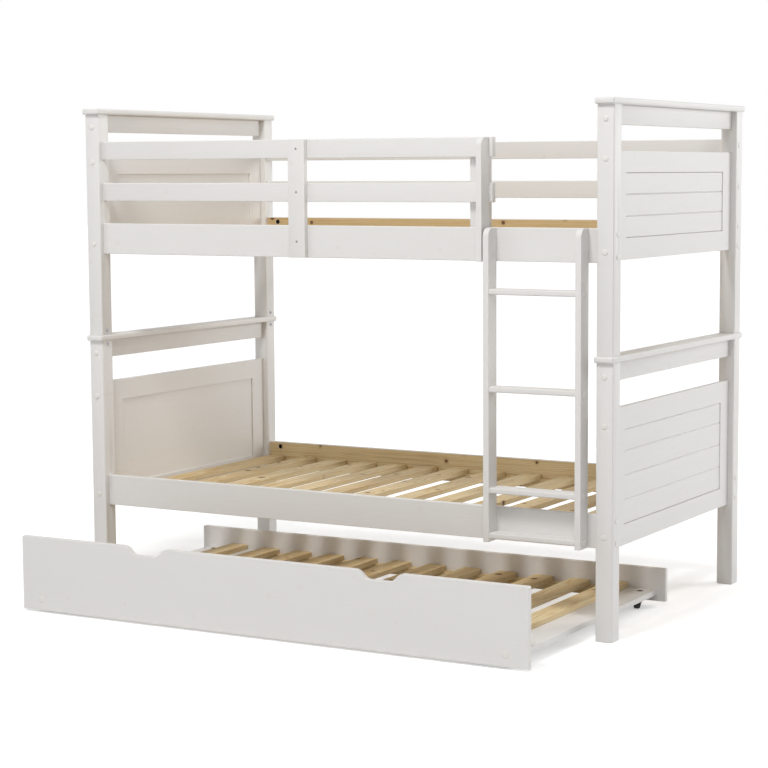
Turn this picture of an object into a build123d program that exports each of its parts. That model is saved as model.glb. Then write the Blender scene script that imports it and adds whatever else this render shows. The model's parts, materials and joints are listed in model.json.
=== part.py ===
from build123d import *
from dataclasses import dataclass
from itertools import product
from math import cos, pi
import os

# Bunk bed with a trundle: two stacked beds, an upright ladder and a low bed on castors.
# X runs along the bed, the ladder is on the -Y side and +Z is up. Lengths are millimetres.
# Everything is drawn from the middle of the four posts, and moved to the origin when it is saved.

# Both beds
bed_length = 2000
bed_width = 1100
post_size = 57
post_chamfer = 3
foot_chamfer = 2
edge_chamfer = 1.5
cut_overrun = 5

# Cap boards across the ends of both beds
cap_thickness = 20
cap_end_overhang = 5
cap_side_overhang = 11
cap_chamfer = 4

# End rails and framed end panels
end_thickness = 20
top_rail_height = 60.5
top_rail_screw_drop = 44
stile_width = 77
panel_thickness = 12
panel_recess = 3
groove_depth = 3

# Side rails, with the ledger battens that carry the slats
rail_thickness = 22
rail_setback = 20
rail_height = 106
rail_bolt_inset = 18
ledger_thickness = 20
ledger_height = 30
ledger_end_gap = 3

# Slats of both beds
slat_width = 70
slat_thickness = 18
slat_side_gap = 2
slat_corner = 6
slat_top_rise = 53.5
slat_shares = (
    0.02, 0.098, 0.17, 0.2415, 0.3123, 0.3839, 0.4533,
    0.5355, 0.6156, 0.6983, 0.7728, 0.8478, 0.9226, 0.98,
)

# Lower bed
lower_post_height = 870
lower_rail_lift = 290
lower_frame_lift = 286
lower_frame_drop = 145
lower_frame_top_width = 72
lower_frame_bottom_width = 65
lower_board_width = 77.5
lower_frame_screw_drop = 51
lower_frame_screw_rise = 43

# Upper bed, which stands on the lower bed's cap boards
upper_post_height = 766
upper_rail_lift = 284.5
upper_frame_lift = 290.5
upper_frame_drop = 140
upper_frame_top_width = 66
upper_frame_bottom_width = 67
upper_board_width = 67.5
upper_frame_screw_drop = 25
upper_frame_screw_rise = 27.5

# Guard rails round the upper bed and the three uprights at the front
guard_height = 62
guard_shares = (0.206391, 0.584554)
guard_screw_rise = 41
guard_lap = 5.5
plate_width = 64
plate_thickness = 20
plate_x = -137
end_board_thickness = 20
end_board_depth = 55
batten_width = 68
batten_thickness = 20
batten_inset = 23
batten_slat_gap = 2

# Ladder
ladder_width = 337.5
ladder_post_gap = 34
ladder_stile_thickness = 20.5
ladder_stile_depth = 58
ladder_corner = 28
rung_thickness = 18
rung_inset = 2
rung_edge = 7
rung_shares = (0.012, 0.1575, 0.4805, 0.7895)

# Bolts and screws with low bevelled heads
head_radius = 9
head_height = 2
head_bevel_angle = 45
shank_radius = 3
shank_sides = 6
peg_sides = 10
hole_clearance = 0.3
nut_radius = 5
nut_length = 14
nut_recess = 3
nut_shift = 3.5
nut_inset = 48
nut_pocket_radius = 9
screw_depth_in_end = 45
screw_depth_in_rail = 40
screw_depth_in_rung = 35
screw_depth_in_board = 15

# Steel dowels that join the posts, and the screws that lock them
dowel_radius = 6
dowel_depth = 36
lock_head_radius = 6
lock_head_height = 3
lock_screw_radius = 2.5
lower_lock_drop = 11
upper_lock_rise = 16

# Trundle, drawn pulled out
trundle_out = 460
trundle_side_gap = 5
trundle_depth = 1063
trundle_board = 18
front_side_gap = 3
front_lift = 8
front_height = 247
front_corner = 6
cut_out_x = 436
cut_out_top_width = 177
cut_out_bottom_width = 60
cut_out_depth = 28
back_lift = 17
back_height = 113
back_corner = 5
castor_board_width = 197
castor_board_inset = 33
end_slat_inset = 62
trundle_slat_top = 70
trundle_slat_pitch = 140
trundle_batten_height = 30
trundle_batten_thickness = 20
trundle_fit_gap = 2
trundle_screw_inset = 75
trundle_screw_rise = 7
trundle_screw_depth = 22

# Swivel castors
castor_height = 38
castor_inset = 42
castor_edge_inset = 42
castor_trail = 24
wheel_radius = 15
wheel_width = 16
axle_radius = 2.5
running_clearance = 0.05
fork_clearance = 0.5
fork_arm = 3
fork_boss_radius = 6
fork_root_length = 18
fork_plate_radius = 14
fork_plate_thickness = 4
fork_sides = 8
stem_radius = 4
stem_top_drop = 4
clip_radius = 7.5
clip_thickness = 2
seat_gap = 0.3
counterbore_radius = 11
counterbore_depth = 8

# Places that several pieces share
half_length = bed_length / 2
half_width = bed_width / 2
post_inner_x = half_length - post_size
post_inner_y = half_width - post_size
post_x = half_length - post_size / 2
post_y = half_width - post_size / 2
end_inner_x = post_x - end_thickness / 2
end_outer_x = post_x + end_thickness / 2
stile_inner_y = post_inner_y - stile_width
rail_outer_y = half_width - rail_setback
rail_inner_y = rail_outer_y - rail_thickness
rail_y = (rail_inner_y + rail_outer_y) / 2
upper_base = lower_post_height + cap_thickness
ladder_right = post_inner_x - ladder_post_gap
ladder_left = ladder_right - ladder_width
guard_end_x = ladder_left + guard_lap
trundle_half = post_inner_x - trundle_side_gap
trundle_front_half = post_inner_x - front_side_gap
trundle_front_y = -half_width - trundle_out
trundle_inner_front = trundle_front_y + trundle_board
trundle_inner_back = trundle_front_y + trundle_depth - trundle_board
castor_board_outer = trundle_half - castor_board_inset
castor_board_inner = castor_board_outer - castor_board_width
castor_board_top = castor_height + trundle_board
castor_x = castor_board_outer - castor_edge_inset

# The origin is on the floor under the middle of the whole object, trundle and all
front_reach = half_width + trundle_out + head_height
back_reach = half_width + cap_side_overhang
origin_shift = (front_reach - back_reach) / 2


@dataclass
class Bed:
    """One of the two stacked beds: the height that it stands at and the sizes that are its own."""

    name: str
    base: float
    post_height: float
    rail_lift: float
    frame_lift: float
    frame_drop: float
    frame_top_width: float
    frame_bottom_width: float
    board_width: float
    frame_screw_drop: float
    frame_screw_rise: float

    def __post_init__(self):
        self.top = self.base + self.post_height
        self.rail_z = self.base + self.rail_lift
        self.rail_top = self.rail_z + rail_height
        self.frame_z = self.base + self.frame_lift
        self.frame_top = self.top - self.frame_drop
        self.slat_top = self.rail_z + slat_top_rise


lower = Bed(
    name="lower",
    base=0,
    post_height=lower_post_height,
    rail_lift=lower_rail_lift,
    frame_lift=lower_frame_lift,
    frame_drop=lower_frame_drop,
    frame_top_width=lower_frame_top_width,
    frame_bottom_width=lower_frame_bottom_width,
    board_width=lower_board_width,
    frame_screw_drop=lower_frame_screw_drop,
    frame_screw_rise=lower_frame_screw_rise,
)
upper = Bed(
    name="upper",
    base=upper_base,
    post_height=upper_post_height,
    rail_lift=upper_rail_lift,
    frame_lift=upper_frame_lift,
    frame_drop=upper_frame_drop,
    frame_top_width=upper_frame_top_width,
    frame_bottom_width=upper_frame_bottom_width,
    board_width=upper_board_width,
    frame_screw_drop=upper_frame_screw_drop,
    frame_screw_rise=upper_frame_screw_rise,
)
beds = (lower, upper)
x_sides = {-1: "left", 1: "right"}
y_sides = {-1: "front", 1: "back"}


# Drawing helpers

def sided(side, inner, outer):
    """The span between two distances from the middle, on the side -1 or 1."""
    return tuple(sorted((side * inner, side * outer)))


def block(x, y, z):
    """A box over a span in each direction."""
    spans = (x, y, z)
    middle = [(low + high) / 2 for low, high in spans]
    sizes = [high - low for low, high in spans]
    return Pos(*middle) * Box(*sizes)


def beam(x, y, z, along):
    """A box with its long edges chamfered."""
    solid = block(x, y, z)
    return chamfer(solid.edges().filter_by(along), edge_chamfer)


def placed(shape, point, direction):
    """A shape drawn along +Z from the origin, moved to a point and turned to a direction."""
    return Plane(origin=point, z_dir=direction).location * shape


def peg(radius, length):
    """A small round pin or hole, drawn with flats to keep its faces few."""
    return extrude(RegularPolygon(radius, peg_sides), length)


def running_bore(radius, length):
    """A bore whose flats run just clear of a peg of this radius."""
    return peg((radius + running_clearance) / cos(pi / peg_sides), length)


def shank(radius, length):
    """The hidden shank of a fastener or its hole, with fewer flats still."""
    return extrude(RegularPolygon(radius, shank_sides), length)


def fasteners(length, places):
    """One fastener at each place, a point on the face and the direction that it goes in."""
    rim = RegularPolygon(head_radius, peg_sides)
    head = extrude(rim, head_height, dir=(0, 0, -1), taper=head_bevel_angle)
    pattern = head + shank(shank_radius, length)
    return [placed(pattern, point, inward) for point, inward in places]


def save(name, *solids):
    """Write one node as a group of solids, moved to the object's origin."""
    moved = [Pos(0, origin_shift, 0) * solid for solid in solids]
    node = moved[0] if len(moved) == 1 else Compound(children=moved)
    export_step(node, f"parts/{name}.step")


# Posts, cap boards and the dowels between them

def rail_bolt_heights(bed):
    """The heights of the two bolts at each end of a side rail."""
    return bed.rail_z + rail_bolt_inset, bed.rail_top - rail_bolt_inset


def dowel_hole(x_side, y_side):
    """The hole for a joining dowel, through the cap board and into both posts."""
    depth = dowel_depth + hole_clearance
    point = (x_side * post_x, y_side * post_y, lower.top - depth)
    return placed(peg(dowel_radius + hole_clearance, 2 * depth + cap_thickness), point, (0, 0, 1))


def make_post(bed, x_side, y_side):
    """One square post, bored for the side rail's bolts and for its dowel."""
    x = sided(x_side, post_inner_x, half_length)
    y = sided(y_side, post_inner_y, half_width)
    post = block(x, y, (bed.base, bed.top))
    post = chamfer(post.edges().filter_by(Axis.Z), post_chamfer)
    if bed is lower:
        post = chamfer(post.edges().group_by(Axis.Z)[0], foot_chamfer)
    hole = shank(shank_radius + hole_clearance, post_size + 2 * cut_overrun)
    for z in rail_bolt_heights(bed):
        start = x_side * (half_length + cut_overrun)
        post -= placed(hole, (start, y_side * rail_y, z), (-x_side, 0, 0))
    return post - dowel_hole(x_side, y_side)


def make_cap(bed, x_side):
    """The cap board across one end, bored for the dowels on the lower bed."""
    x = sided(x_side, post_inner_x - cap_end_overhang, half_length + cap_end_overhang)
    y = (-half_width - cap_side_overhang, half_width + cap_side_overhang)
    cap = block(x, y, (bed.top, bed.top + cap_thickness))
    cap = chamfer(cap.edges(), cap_chamfer)
    if bed is lower:
        for y_side in y_sides:
            cap -= dowel_hole(x_side, y_side)
    return cap


def joining_dowels():
    """The steel dowels, half in each post."""
    pin = peg(dowel_radius, 2 * dowel_depth + cap_thickness)
    bottom = lower.top - dowel_depth
    return [Pos(x * post_x, y * post_y, bottom) * pin for x, y in product(x_sides, y_sides)]


def lock_screws():
    """The screws in the posts' inner faces, which meet the dowels above and below the cap board."""
    reach = post_size / 2 - dowel_radius - hole_clearance
    screw = peg(lock_head_radius, lock_head_height)
    screw += Pos(0, 0, lock_head_height) * shank(lock_screw_radius, reach)
    heights = (lower.top - lower_lock_drop, upper.base + upper_lock_rise)
    screws = []
    for x_side, y_side, z in product(x_sides, y_sides, heights):
        point = (x_side * (post_inner_x - lock_head_height), y_side * post_y, z)
        screws.append(placed(screw, point, (x_side, 0, 0)))
    return screws


# End rails and framed panels

def make_top_rail(bed, x_side):
    """The rail between the posts under a cap board."""
    x = sided(x_side, end_inner_x, end_outer_x)
    return beam(x, (-post_inner_y, post_inner_y), (bed.top - top_rail_height, bed.top), Axis.Y)


def make_panel_frame(bed, x_side):
    """The four members of an end panel's frame."""
    x = sided(x_side, end_inner_x, end_outer_x)
    height = (bed.frame_z, bed.frame_top)
    between = (-stile_inner_y, stile_inner_y)
    top = (bed.frame_top - bed.frame_top_width, bed.frame_top)
    bottom = (bed.frame_z, bed.frame_z + bed.frame_bottom_width)
    stiles = [beam(x, sided(side, stile_inner_y, post_inner_y), height, Axis.Z) for side in y_sides]
    return stiles + [beam(x, between, top, Axis.Y), beam(x, between, bottom, Axis.Y)]


def make_panel(bed, x_side):
    """The panel's boards, laid edge to edge with a groove at each joint on the outer face."""
    outer = end_outer_x - panel_recess
    x = sided(x_side, outer - panel_thickness, outer)
    low = bed.frame_z + bed.frame_bottom_width
    high = bed.frame_top - bed.frame_top_width
    count = max(1, round((high - low) / bed.board_width))
    boards = []
    for i in range(count):
        bottom = low + i * bed.board_width
        top = high if i == count - 1 else bottom + bed.board_width
        board = block(x, (-stile_inner_y, stile_inner_y), (bottom, top))
        outer_edges = board.edges().filter_by(Axis.Y).group_by(Axis.X)[-1 if x_side > 0 else 0]
        boards.append(chamfer(outer_edges, groove_depth))
    return boards


def end_screw_places():
    """Screws through the posts' front and back faces into the end rails and panel frames."""
    places = []
    for bed, x_side, y_side in product(beds, x_sides, y_sides):
        heights = (
            bed.top - top_rail_screw_drop,
            bed.frame_top - bed.frame_screw_drop,
            bed.frame_z + bed.frame_screw_rise,
        )
        for z in heights:
            places.append(((x_side * post_x, y_side * half_width, z), (0, -y_side, 0)))
    return places


# Side rails, ledgers and slats

def make_side_rail(bed, y_side):
    """A side rail, bored in its ends for the bolts and with pockets in its inner face for their nuts."""
    y = sided(y_side, rail_inner_y, rail_outer_y)
    rail = beam((-post_inner_x, post_inner_x), y, (bed.rail_z, bed.rail_top), Axis.X)
    bolt_hole = shank(shank_radius + hole_clearance, nut_inset + nut_radius + cut_overrun)
    pocket = peg(nut_pocket_radius, nut_length + nut_recess)
    for x_side, z in product(x_sides, rail_bolt_heights(bed)):
        rail -= placed(bolt_hole, (x_side * post_inner_x, y_side * rail_y, z), (-x_side, 0, 0))
        pocket_x = x_side * (post_inner_x - nut_inset)
        rail -= placed(pocket, (pocket_x, y_side * rail_inner_y, z), (0, y_side, 0))
    return rail


def rail_bolt_places():
    """Bolts through the posts' end faces into the side rails."""
    places = []
    for bed, x_side, y_side in product(beds, x_sides, y_sides):
        for z in rail_bolt_heights(bed):
            places.append(((x_side * half_length, y_side * rail_y, z), (-x_side, 0, 0)))
    return places


def barrel_nuts():
    """The cross nuts that the rail bolts screw into, on the posts' side of their pockets."""
    nut = peg(nut_radius, nut_length)
    nuts = []
    for (x, y, z), inward in rail_bolt_places():
        nut_x = x + inward[0] * (post_size + nut_inset - nut_shift)
        y_side = 1 if y > 0 else -1
        nuts.append(placed(nut, (nut_x, y_side * (rail_inner_y + nut_recess), z), (0, y_side, 0)))
    return nuts


def make_ledgers():
    """The battens on the rails' inner faces that the slats rest on."""
    x = (-post_inner_x + ledger_end_gap, post_inner_x - ledger_end_gap)
    ledgers = []
    for bed, y_side in product(beds, y_sides):
        top = bed.slat_top - slat_thickness
        y = sided(y_side, rail_inner_y - ledger_thickness, rail_inner_y)
        ledgers.append(block(x, y, (top - ledger_height, top)))
    return ledgers


def make_slat(x, y, top):
    """One slat across a bed, its corners trimmed."""
    half = slat_width / 2
    slat = block((x - half, x + half), y, (top - slat_thickness, top))
    return chamfer(slat.edges().filter_by(Axis.Z), slat_corner)


def make_slats(bed):
    """The slats of one bed, each at its share of the length between the posts."""
    reach = rail_inner_y - slat_side_gap
    places = [(2 * share - 1) * post_inner_x for share in slat_shares]
    return [make_slat(x, (-reach, reach), bed.slat_top) for x in places]


# Guard rails and the uprights that hold their free ends

def guard_bottoms():
    """The lower edges of the two guard rails, as shares of the posts' height above the side rail."""
    height = upper.top - upper.rail_top
    return [upper.rail_top + share * height for share in guard_shares]


def guard_top():
    """The top of the upper guard rail, level with the uprights that hold it."""
    return max(guard_bottoms()) + guard_height


def make_guard_rails(y_side):
    """The two guard rails of one side; those at the front stop at the ladder."""
    x = (-post_inner_x, guard_end_x if y_side < 0 else post_inner_x)
    y = sided(y_side, rail_inner_y, rail_outer_y)
    return [beam(x, y, (z, z + guard_height), Axis.X) for z in guard_bottoms()]


def make_guard_plate():
    """The flat upright across the front guard rails and the side rail."""
    x = (plate_x - plate_width / 2, plate_x + plate_width / 2)
    y = (-rail_outer_y - plate_thickness, -rail_outer_y)
    return beam(x, y, (upper.rail_z, guard_top()), Axis.Z)


def rounded_top(solid, radius):
    """The same upright with its front top corner rounded."""
    edge = solid.edges().filter_by(Axis.X).group_by(Axis.Z)[-1].sort_by(Axis.Y)[0]
    return fillet(edge, radius)


def make_guard_end_board():
    """The upright set edge-on in front of the guard rails' free ends."""
    right = ladder_left - guard_lap
    y = (-rail_outer_y - end_board_depth, -rail_outer_y)
    board = block((right - end_board_thickness, right), y, (upper.rail_z, guard_top()))
    return rounded_top(board, ladder_corner)


def make_guard_batten():
    """The upright behind the guard rails' free ends, above the slats."""
    right = guard_end_x - batten_inset
    y = (-rail_inner_y, -rail_inner_y + batten_thickness)
    z = (upper.slat_top + batten_slat_gap, guard_top())
    return beam((right - batten_width, right), y, z, Axis.Z)


def guard_screws():
    """The screws of the guard rails' fixed ends and of the plate."""
    ends = []
    for (x_side, y_side), bottom in product(product(x_sides, y_sides), guard_bottoms()):
        free_end = x_side > 0 and y_side < 0
        if not free_end:
            point = (x_side * half_length, y_side * rail_y, bottom + guard_screw_rise)
            ends.append((point, (-x_side, 0, 0)))
    rail_middle = upper.rail_z + rail_height / 2
    heights = [bottom + guard_height / 2 for bottom in guard_bottoms()] + [rail_middle]
    face = -rail_outer_y - plate_thickness
    plate = [((plate_x, face, z), (0, 1, 0)) for z in heights]
    return fasteners(post_size + screw_depth_in_rail, ends) + fasteners(
        plate_thickness + screw_depth_in_board, plate
    )


# Ladder

def rung_bottoms():
    """The rungs' lower faces, as shares of the ladder's height."""
    height = upper.rail_top - lower.rail_z
    return [lower.rail_z + share * height for share in rung_shares]


def make_ladder_stiles():
    """The ladder's two sides, from the lower side rail's bottom to the upper one's top."""
    y = (-rail_outer_y - ladder_stile_depth, -rail_outer_y)
    z = (lower.rail_z, upper.rail_top)
    starts = (ladder_left, ladder_right - ladder_stile_thickness)
    stiles = [block((x, x + ladder_stile_thickness), y, z) for x in starts]
    return [rounded_top(stile, ladder_corner) for stile in stiles]


def make_rungs():
    """The flat rungs, with rounded front edges."""
    x = (ladder_left + ladder_stile_thickness, ladder_right - ladder_stile_thickness)
    y = (-rail_outer_y - ladder_stile_depth + rung_inset, -rail_outer_y)
    rungs = []
    for bottom in rung_bottoms():
        rung = block(x, y, (bottom, bottom + rung_thickness))
        front_edges = rung.edges().filter_by(Axis.X).group_by(Axis.Y)[0]
        rungs.append(fillet(front_edges, rung_edge))
    return rungs


def ladder_screws():
    """The screws through the stiles' outer faces into the rungs' ends."""
    y = -rail_outer_y - ladder_stile_depth / 2
    places = []
    for bottom in rung_bottoms():
        z = bottom + rung_thickness / 2
        places.append(((ladder_left, y, z), (1, 0, 0)))
        places.append(((ladder_right, y, z), (-1, 0, 0)))
    return fasteners(ladder_stile_thickness + screw_depth_in_rung, places)


# Trundle boards and slats

def s_curve(high, low):
    """Two equal arcs between two points, level at both ends."""
    middle = ((high[0] + low[0]) / 2, (high[1] + low[1]) / 2)
    towards = 1 if low[0] > high[0] else -1
    falling = TangentArc(high, middle, tangent=(towards, 0))
    rising = TangentArc(low, middle, tangent=(-towards, 0))
    return [falling, rising]


def front_outline():
    """The front board's outline, its two hand cut-outs in the top edge."""
    top = front_height
    outline = []
    here = (trundle_front_half - front_corner, top)
    for x in (cut_out_x, -cut_out_x):
        right_high = (x + cut_out_top_width / 2, top)
        left_high = (x - cut_out_top_width / 2, top)
        right_low = (x + cut_out_bottom_width / 2, top - cut_out_depth)
        left_low = (x - cut_out_bottom_width / 2, top - cut_out_depth)
        outline.append(Line(here, right_high))
        outline += s_curve(right_high, right_low)
        outline.append(Line(right_low, left_low))
        outline += s_curve(left_high, left_low)
        here = left_high
    shoulder = top - front_corner
    outline.append(Line(here, (front_corner - trundle_front_half, top)))
    for side in x_sides:
        edge = side * trundle_front_half
        corner_end = (edge - side * front_corner, top)
        outline.append(TangentArc((edge, shoulder), corner_end, tangent=(0, 1)))
    left, right = -trundle_front_half, trundle_front_half
    foot = [(left, shoulder), (left, 0), (right, 0), (right, shoulder)]
    outline += [Line(start, end) for start, end in zip(foot, foot[1:])]
    return make_face(outline)


def make_trundle_front():
    """The trundle's front board."""
    foot = (0, trundle_inner_front, front_lift)
    face = Plane(origin=foot, x_dir=(1, 0, 0), z_dir=(0, -1, 0)) * front_outline()
    return extrude(face, trundle_board)


def make_trundle_back():
    """The trundle's low back board, with rounded corners."""
    middle = (0, trundle_inner_back, back_lift + back_height / 2)
    outline = RectangleRounded(2 * trundle_half, back_height, back_corner)
    face = Plane(origin=middle, x_dir=(1, 0, 0), z_dir=(0, 1, 0)) * outline
    return extrude(face, trundle_board)


def castor_places(x_side):
    """The stems of the front and back castors at one end."""
    x = x_side * castor_x
    return {-1: (x, trundle_inner_front + castor_inset), 1: (x, trundle_inner_back - castor_inset)}


def make_castor_board(x_side):
    """The flat board across one end of the trundle, bored and counterbored for the castors."""
    x = sided(x_side, castor_board_inner, castor_board_outer)
    y = (trundle_inner_front, trundle_inner_back)
    board = block(x, y, (castor_height, castor_board_top))
    bore = running_bore(stem_radius, trundle_board + 2 * cut_overrun)
    pocket = peg(counterbore_radius, counterbore_depth + cut_overrun)
    for stem_x, stem_y in castor_places(x_side).values():
        board -= Pos(stem_x, stem_y, castor_height - cut_overrun) * bore
        board -= Pos(stem_x, stem_y, castor_board_top - counterbore_depth) * pocket
    return board


def trundle_cross_span():
    """The width that the slats cover, just clear of the front and back boards."""
    return trundle_inner_front + trundle_fit_gap, trundle_inner_back - trundle_fit_gap


def make_end_slats():
    """The slats that lie on the castor boards."""
    middle = castor_board_inner + end_slat_inset
    top = castor_board_top + slat_thickness
    return [make_slat(side * middle, trundle_cross_span(), top) for side in x_sides]


def make_trundle_battens():
    """The battens along the front and back boards that the slats rest on."""
    reach = castor_board_inner - trundle_fit_gap
    top = trundle_slat_top - slat_thickness
    front = (trundle_inner_front, trundle_inner_front + trundle_batten_thickness)
    back = (trundle_inner_back - trundle_batten_thickness, trundle_inner_back)
    return [block((-reach, reach), y, (top - trundle_batten_height, top)) for y in (front, back)]


def make_trundle_slats():
    """The trundle's slats, even about the middle, between the castor boards."""
    first = trundle_slat_pitch / 2
    count = int((castor_board_inner - slat_width / 2 - first) // trundle_slat_pitch) + 1
    places = [side * (first + i * trundle_slat_pitch) for side, i in product(x_sides, range(count))]
    return [make_slat(x, trundle_cross_span(), trundle_slat_top) for x in places]


def trundle_screw_places():
    """Screws through the front and back boards into the edges of the castor boards."""
    z = castor_height + trundle_screw_rise
    back_y = trundle_inner_back + trundle_board
    places = []
    for side in x_sides:
        x = side * (trundle_half - trundle_screw_inset)
        places.append(((x, trundle_front_y, z), (0, 1, 0)))
        places.append(((x, back_y, z), (0, -1, 0)))
    return places


# Swivel castors, drawn about the stem with the wheel trailing towards the front

def make_fork():
    """Plate, two arms, axle and stem, with the clip that holds the stem in its counterbore."""
    plate_top = castor_height - seat_gap
    plate_bottom = plate_top - fork_plate_thickness
    plate = RegularPolygon(fork_plate_radius, fork_sides)
    fork = extrude(Pos(0, 0, plate_bottom) * plate, fork_plate_thickness)
    boss = Pos(-castor_trail, wheel_radius) * RegularPolygon(fork_boss_radius, fork_sides)
    root = Pos(-fork_root_length / 2, plate_bottom + fork_plate_thickness / 2)
    root *= Rectangle(fork_root_length, fork_plate_thickness)
    arm = extrude(Plane.YZ * make_hull((boss + root).edges()), fork_arm)
    inside = wheel_width / 2 + fork_clearance
    fork += Pos(inside, 0, 0) * arm
    fork += Pos(-inside - fork_arm, 0, 0) * arm
    axle_start = (-inside - fork_arm, -castor_trail, wheel_radius)
    fork += placed(peg(axle_radius, 2 * (inside + fork_arm)), axle_start, (1, 0, 0))
    stem_top = castor_board_top - stem_top_drop
    fork += Pos(0, 0, plate_bottom) * peg(stem_radius, stem_top - plate_bottom)
    clip_bottom = castor_board_top - counterbore_depth + seat_gap
    clip = RegularPolygon(clip_radius, fork_sides)
    return fork + extrude(Pos(0, 0, clip_bottom) * clip, clip_thickness)


def make_wheel():
    """The wheel, bored for its axle."""
    tread = extrude(Circle(wheel_radius), wheel_width)
    wheel = tread - running_bore(axle_radius, wheel_width)
    return placed(wheel, (-wheel_width / 2, -castor_trail, wheel_radius), (1, 0, 0))


os.makedirs("parts", exist_ok=True)

for bed, (x_side, x_name) in product(beds, x_sides.items()):
    for y_side, y_name in y_sides.items():
        save(f"{bed.name}_post_{y_name}_{x_name}", make_post(bed, x_side, y_side))
    save(f"{bed.name}_cap_{x_name}", make_cap(bed, x_side))
    save(f"{bed.name}_top_rail_{x_name}", make_top_rail(bed, x_side))
    save(f"{bed.name}_panel_frame_{x_name}", *make_panel_frame(bed, x_side))
    save(f"{bed.name}_panel_{x_name}", *make_panel(bed, x_side))

for bed in beds:
    for y_side, y_name in y_sides.items():
        save(f"{bed.name}_side_rail_{y_name}", make_side_rail(bed, y_side))
    save(f"{bed.name}_slats", *make_slats(bed))
save("slat_ledgers", *make_ledgers())

for y_side, y_name in y_sides.items():
    save(f"guard_rails_{y_name}", *make_guard_rails(y_side))
save("guard_plate", make_guard_plate())
save("guard_end_board", make_guard_end_board())
save("guard_batten", make_guard_batten())
save("ladder_stiles", *make_ladder_stiles())
save("ladder_rungs", *make_rungs())

save("rail_bolts", *fasteners(post_size + nut_inset + nut_radius, rail_bolt_places()))
save("barrel_nuts", *barrel_nuts())
save("end_screws", *fasteners(post_size + screw_depth_in_end, end_screw_places()))
save("guard_and_ladder_screws", *guard_screws(), *ladder_screws())
save("joining_dowels", *joining_dowels())
save("lock_screws", *lock_screws())

save("trundle_front", make_trundle_front())
save("trundle_back", make_trundle_back())
save("trundle_end_slats", *make_end_slats())
save("trundle_battens", *make_trundle_battens())
save("trundle_slats", *make_trundle_slats())
save("trundle_screws", *fasteners(trundle_board + trundle_screw_depth, trundle_screw_places()))

fork = make_fork()
wheel = make_wheel()
for x_side, x_name in x_sides.items():
    save(f"castor_board_{x_name}", make_castor_board(x_side))
    for y_side, (stem_x, stem_y) in castor_places(x_side).items():
        save(f"castor_fork_{y_sides[y_side]}_{x_name}", Pos(stem_x, stem_y, 0) * fork)
        save(f"castor_wheel_{y_sides[y_side]}_{x_name}", Pos(stem_x, stem_y, 0) * wheel)
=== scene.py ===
import json
import math
import random
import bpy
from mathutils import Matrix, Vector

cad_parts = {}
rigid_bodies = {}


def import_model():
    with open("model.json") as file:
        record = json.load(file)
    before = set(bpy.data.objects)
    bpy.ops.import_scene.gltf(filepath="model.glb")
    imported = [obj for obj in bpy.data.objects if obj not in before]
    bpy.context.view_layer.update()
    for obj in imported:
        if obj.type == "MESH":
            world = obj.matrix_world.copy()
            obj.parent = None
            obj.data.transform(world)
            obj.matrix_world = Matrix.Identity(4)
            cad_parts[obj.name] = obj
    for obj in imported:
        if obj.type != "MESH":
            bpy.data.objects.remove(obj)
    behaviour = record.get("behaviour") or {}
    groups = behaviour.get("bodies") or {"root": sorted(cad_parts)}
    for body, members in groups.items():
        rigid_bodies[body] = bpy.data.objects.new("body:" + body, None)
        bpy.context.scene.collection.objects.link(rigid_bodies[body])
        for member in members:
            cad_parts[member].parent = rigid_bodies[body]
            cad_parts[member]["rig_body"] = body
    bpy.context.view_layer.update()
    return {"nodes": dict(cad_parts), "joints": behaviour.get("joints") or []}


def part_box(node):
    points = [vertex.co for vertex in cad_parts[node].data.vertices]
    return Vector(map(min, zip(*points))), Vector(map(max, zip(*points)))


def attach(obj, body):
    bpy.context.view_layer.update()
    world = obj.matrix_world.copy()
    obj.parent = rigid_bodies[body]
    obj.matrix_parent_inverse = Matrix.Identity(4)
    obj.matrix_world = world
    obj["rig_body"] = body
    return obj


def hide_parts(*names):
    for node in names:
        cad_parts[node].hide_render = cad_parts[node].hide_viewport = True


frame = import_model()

import zlib
from functools import cache

import bmesh
import bpy
import numpy as np
from bpy.props import FloatProperty, FloatVectorProperty, IntProperty, PointerProperty
from bpy.types import Operator, Panel, PropertyGroup
from mathutils import Matrix, Vector

bl_info = {
    "name": "Bunk Bed with Trundle",
    "version": (1, 0, 0),
    "blender": (4, 5, 0),
    "location": "3D View > Sidebar > Bunk Bed",
    "description": "Painted boards, bare pine slats, screw caps and castors for a bunk bed with a trundle",
    "category": "Object",
}

# Names of the beds, their sides, the castors and the nodes of slats
BEDS = ("lower", "upper")
X_SIDES = ("left", "right")
Y_SIDES = ("front", "back")
CASTORS = [f"{y}_{x}" for y in Y_SIDES for x in X_SIDES]
SLATS = ("lower_slats", "upper_slats", "trundle_slats", "trundle_end_slats")

# Outlines of the curved boards and the slats, in metres, and the steps that most arcs are drawn in
LADDER_CORNER = 0.028
RUNG_EDGE = 0.004
FRONT_CORNER = 0.006
BACK_CORNER = 0.005
CUT_OUT_X = 0.436
CUT_OUT_TOP = 0.177
CUT_OUT_BOTTOM = 0.060
CUT_OUT_DEPTH = 0.028
SLAT_CORNER = 0.006
SLAT_EDGE = 0.002
SLAT_PLAY = 0.0006
SLAT_SCREW_INSET = 0.011
ARC_STEPS = 9

# Chamfers, grooves, the pockets of the rails' nuts and the castors' holes, in metres
EDGE_CHAMFER = 0.0015
PANEL_GROOVE = 0.003
PANEL_EDGE = 0.0001
POCKET_RADIUS = 0.009
POCKET_DEPTH = 0.017
NUT_SHIFT = 0.0035
COUNTERBORE_RADIUS = 0.011
COUNTERBORE_DEPTH = 0.008
STEM_HOLE_RADIUS = 0.0042
STEM_HOLE_DEPTH = 0.023
CUTTER_OVERRUN = 0.005

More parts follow.
